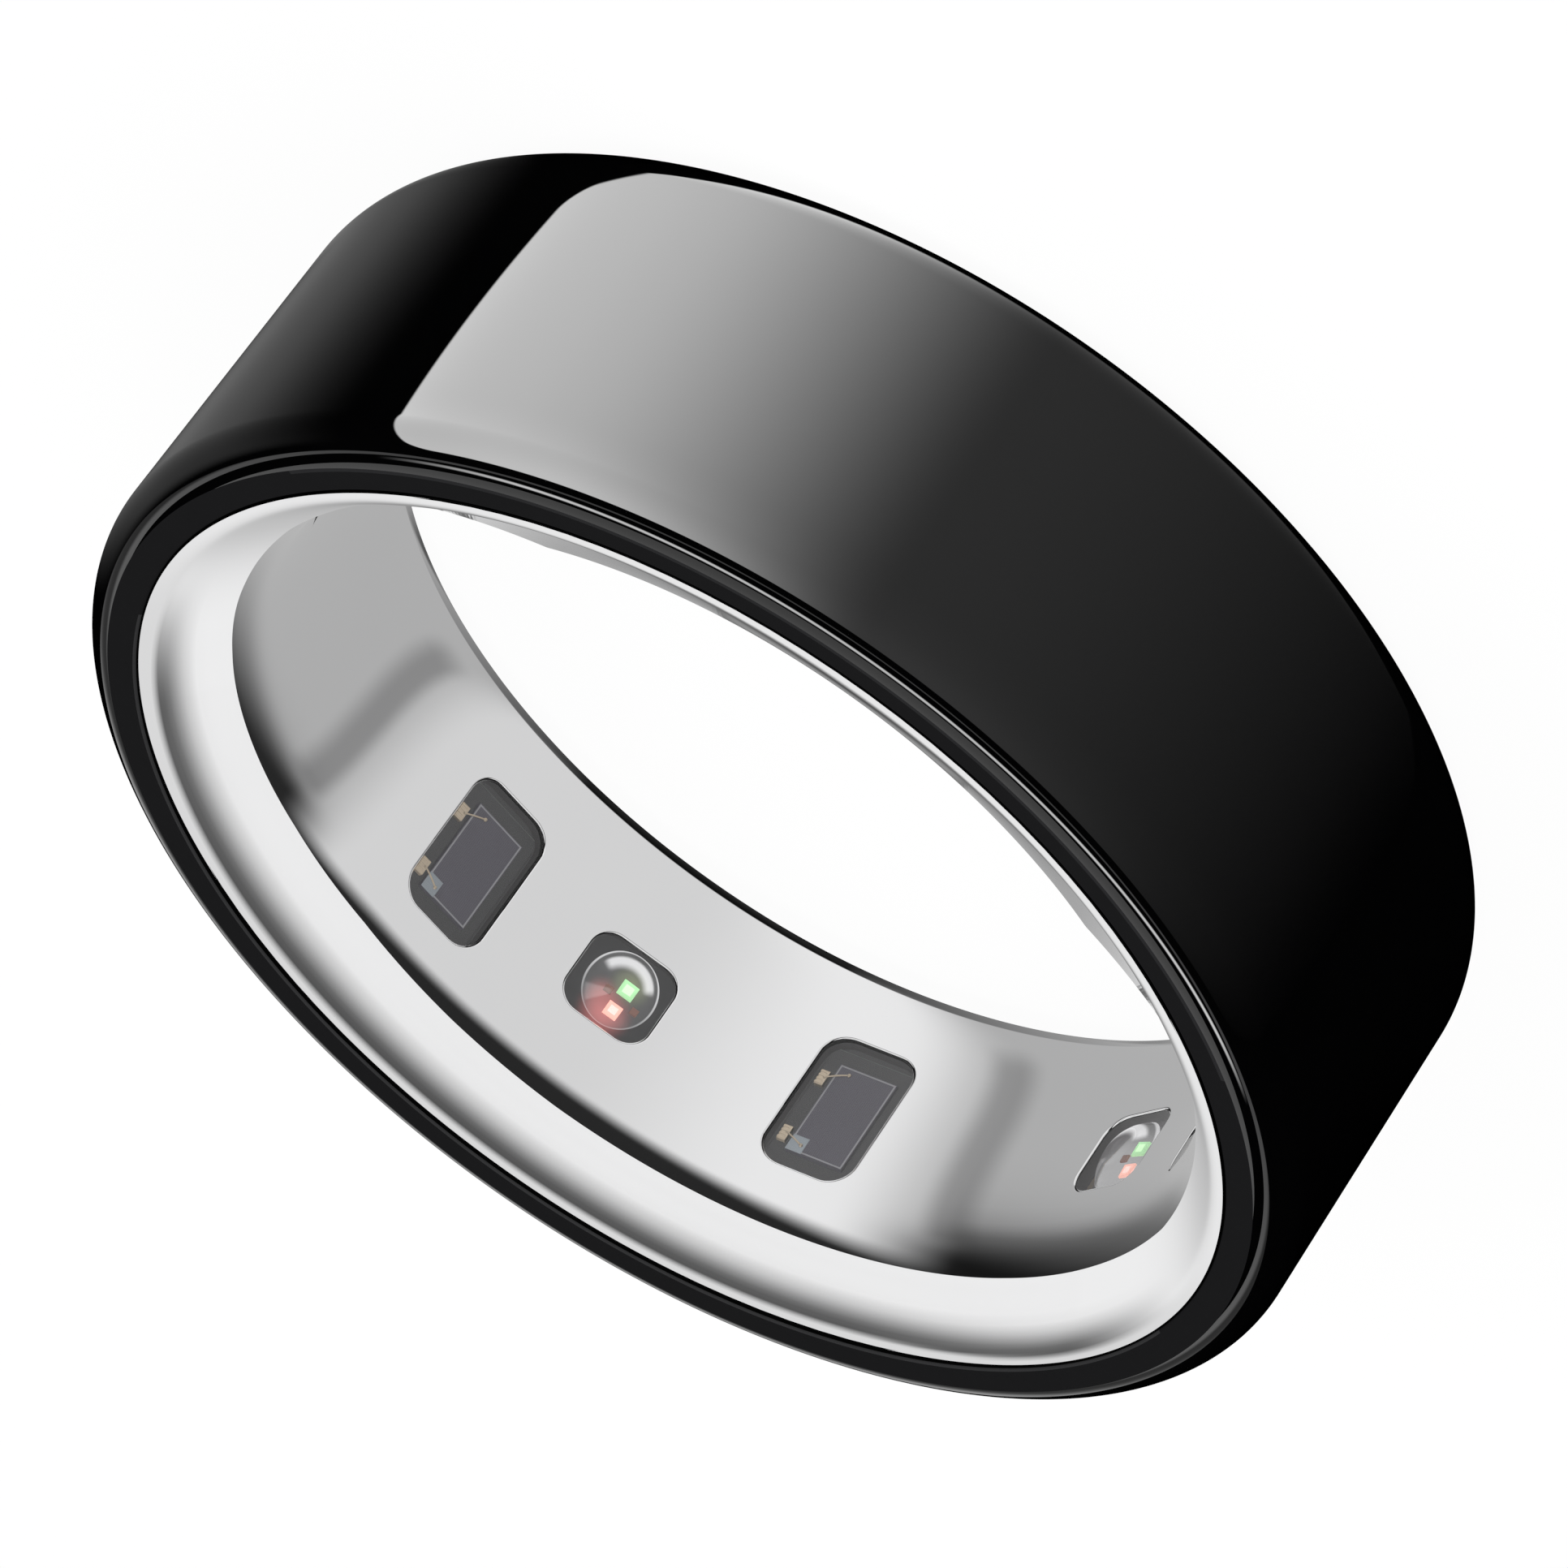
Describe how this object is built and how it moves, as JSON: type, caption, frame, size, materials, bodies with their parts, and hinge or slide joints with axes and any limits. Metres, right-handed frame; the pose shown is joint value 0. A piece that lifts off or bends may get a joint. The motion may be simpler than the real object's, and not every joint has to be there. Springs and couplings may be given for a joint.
{
  "type": "smart ring",
  "caption": "Smart ring with a glossy black metal band, a polished silver liner and sensor windows that look into the finger hole, with its curved battery and electronics inside.",
  "frame": {"origin": "centre of the lower side face, on the finger hole's axis", "axes": "+Z along the finger hole's axis, up from the side face that the ring lies on; +Y towards the middle of the sensor windows"},
  "size_m": [0.0254, 0.0254, 0.0079],
  "materials": {
    "black_metal": "gloss",
    "polished_steel": "polished",
    "black_glue": "matt",
    "resin": "satin",
    "window": "clear with a grey tint",
    "sensor_base": "satin",
    "detector": "smooth silicon",
    "contact": "satin",
    "gold": "bright gold",
    "lamp_frame": "matt",
    "clear_dome": "clear",
    "green_light": "lit",
    "red_light": "lit",
    "infrared": "smooth",
    "flex": "satin amber film",
    "chip_case": "matt",
    "metal_case": "satin",
    "dark_ferrite": "matt",
    "light_ceramic": "matt",
    "dark_ceramic": "satin",
    "copper": "bright copper",
    "carrier": "matt",
    "battery": "satin foil",
    "glue_pad": "matt",
    "terminal": "bright nickel"
  },
  "bodies": {
    "root": {"outer_shell": "black_metal", "inner_liner": "polished_steel", "front_seal": "black_glue", "rear_seal": "black_glue", "front_potting": "resin", "rear_potting": "resin", "detector_windows": "window", "lamp_windows": "window", "detector_bases": "sensor_base", "detector_chips": "detector", "chip_contacts": "contact", "gold_pads": "gold", "gold_wires": "gold", "lamp_bases": "sensor_base", "lamp_frames": "lamp_frame", "lamp_domes": "clear_dome", "green_light_chips": "green_light", "red_light_chips": "red_light", "infrared_chips": "infrared", "temperature_sensors": "light_ceramic", "flex_circuit": "flex", "front_end_chip": "chip_case", "processor_chip": "chip_case", "memory_chip": "chip_case", "motion_sensor": "metal_case", "power_chip": "chip_case", "charger_chip": "chip_case", "clock_crystal": "metal_case", "power_inductor": "dark_ferrite", "protection_chip": "chip_case", "capacitors": "light_ceramic", "resistors": "dark_ceramic", "charging_coil": "copper", "coil_shield": "dark_ferrite", "antenna_carrier": "carrier", "antenna_strip": "copper", "battery_cell": "battery", "battery_glue": "glue_pad", "battery_terminals": "terminal"}
  },
  "joints": []
}
